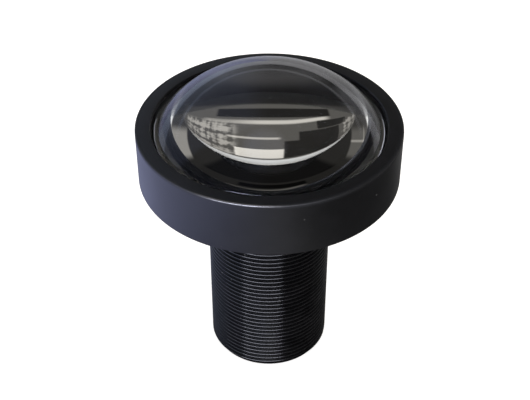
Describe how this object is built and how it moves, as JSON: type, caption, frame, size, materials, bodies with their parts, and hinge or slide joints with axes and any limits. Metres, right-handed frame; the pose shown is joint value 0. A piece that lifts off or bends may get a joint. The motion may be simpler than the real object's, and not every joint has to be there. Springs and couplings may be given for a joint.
{
  "type": "s-mount lens",
  "caption": "Board-camera lens with a fine mounting thread on a slim barrel, a wide plain head and a domed glass front.",
  "frame": {"origin": "centre of the barrel's rear face, which stands on the surface", "axes": "+Z along the optical axis, from the rear face to the domed front"},
  "size_m": [0.025, 0.025, 0.0314],
  "materials": {
    "black_anodised": "satin",
    "front_glass": "polished",
    "inner_glass": "polished",
    "filter_glass": "polished",
    "black_film": "matte",
    "black_plate": "matte",
    "black_adhesive": "gloss"
  },
  "bodies": {
    "root": {"housing": "black_anodised", "front_element": "front_glass", "front_adhesive": "black_adhesive", "front_light_shield": "black_film", "retaining_ring": "black_anodised", "second_element": "inner_glass", "front_spacer": "black_anodised", "second_light_shield": "black_film", "third_element": "inner_glass", "middle_spacer": "black_anodised", "aperture_stop": "black_plate", "stop_spacer": "black_anodised", "doublet_crown": "inner_glass", "doublet_flint": "inner_glass", "rear_spacer": "black_anodised", "rear_light_shield": "black_film", "rear_element": "inner_glass", "infrared_filter": "filter_glass", "filter_adhesive": "black_adhesive"}
  },
  "joints": []
}
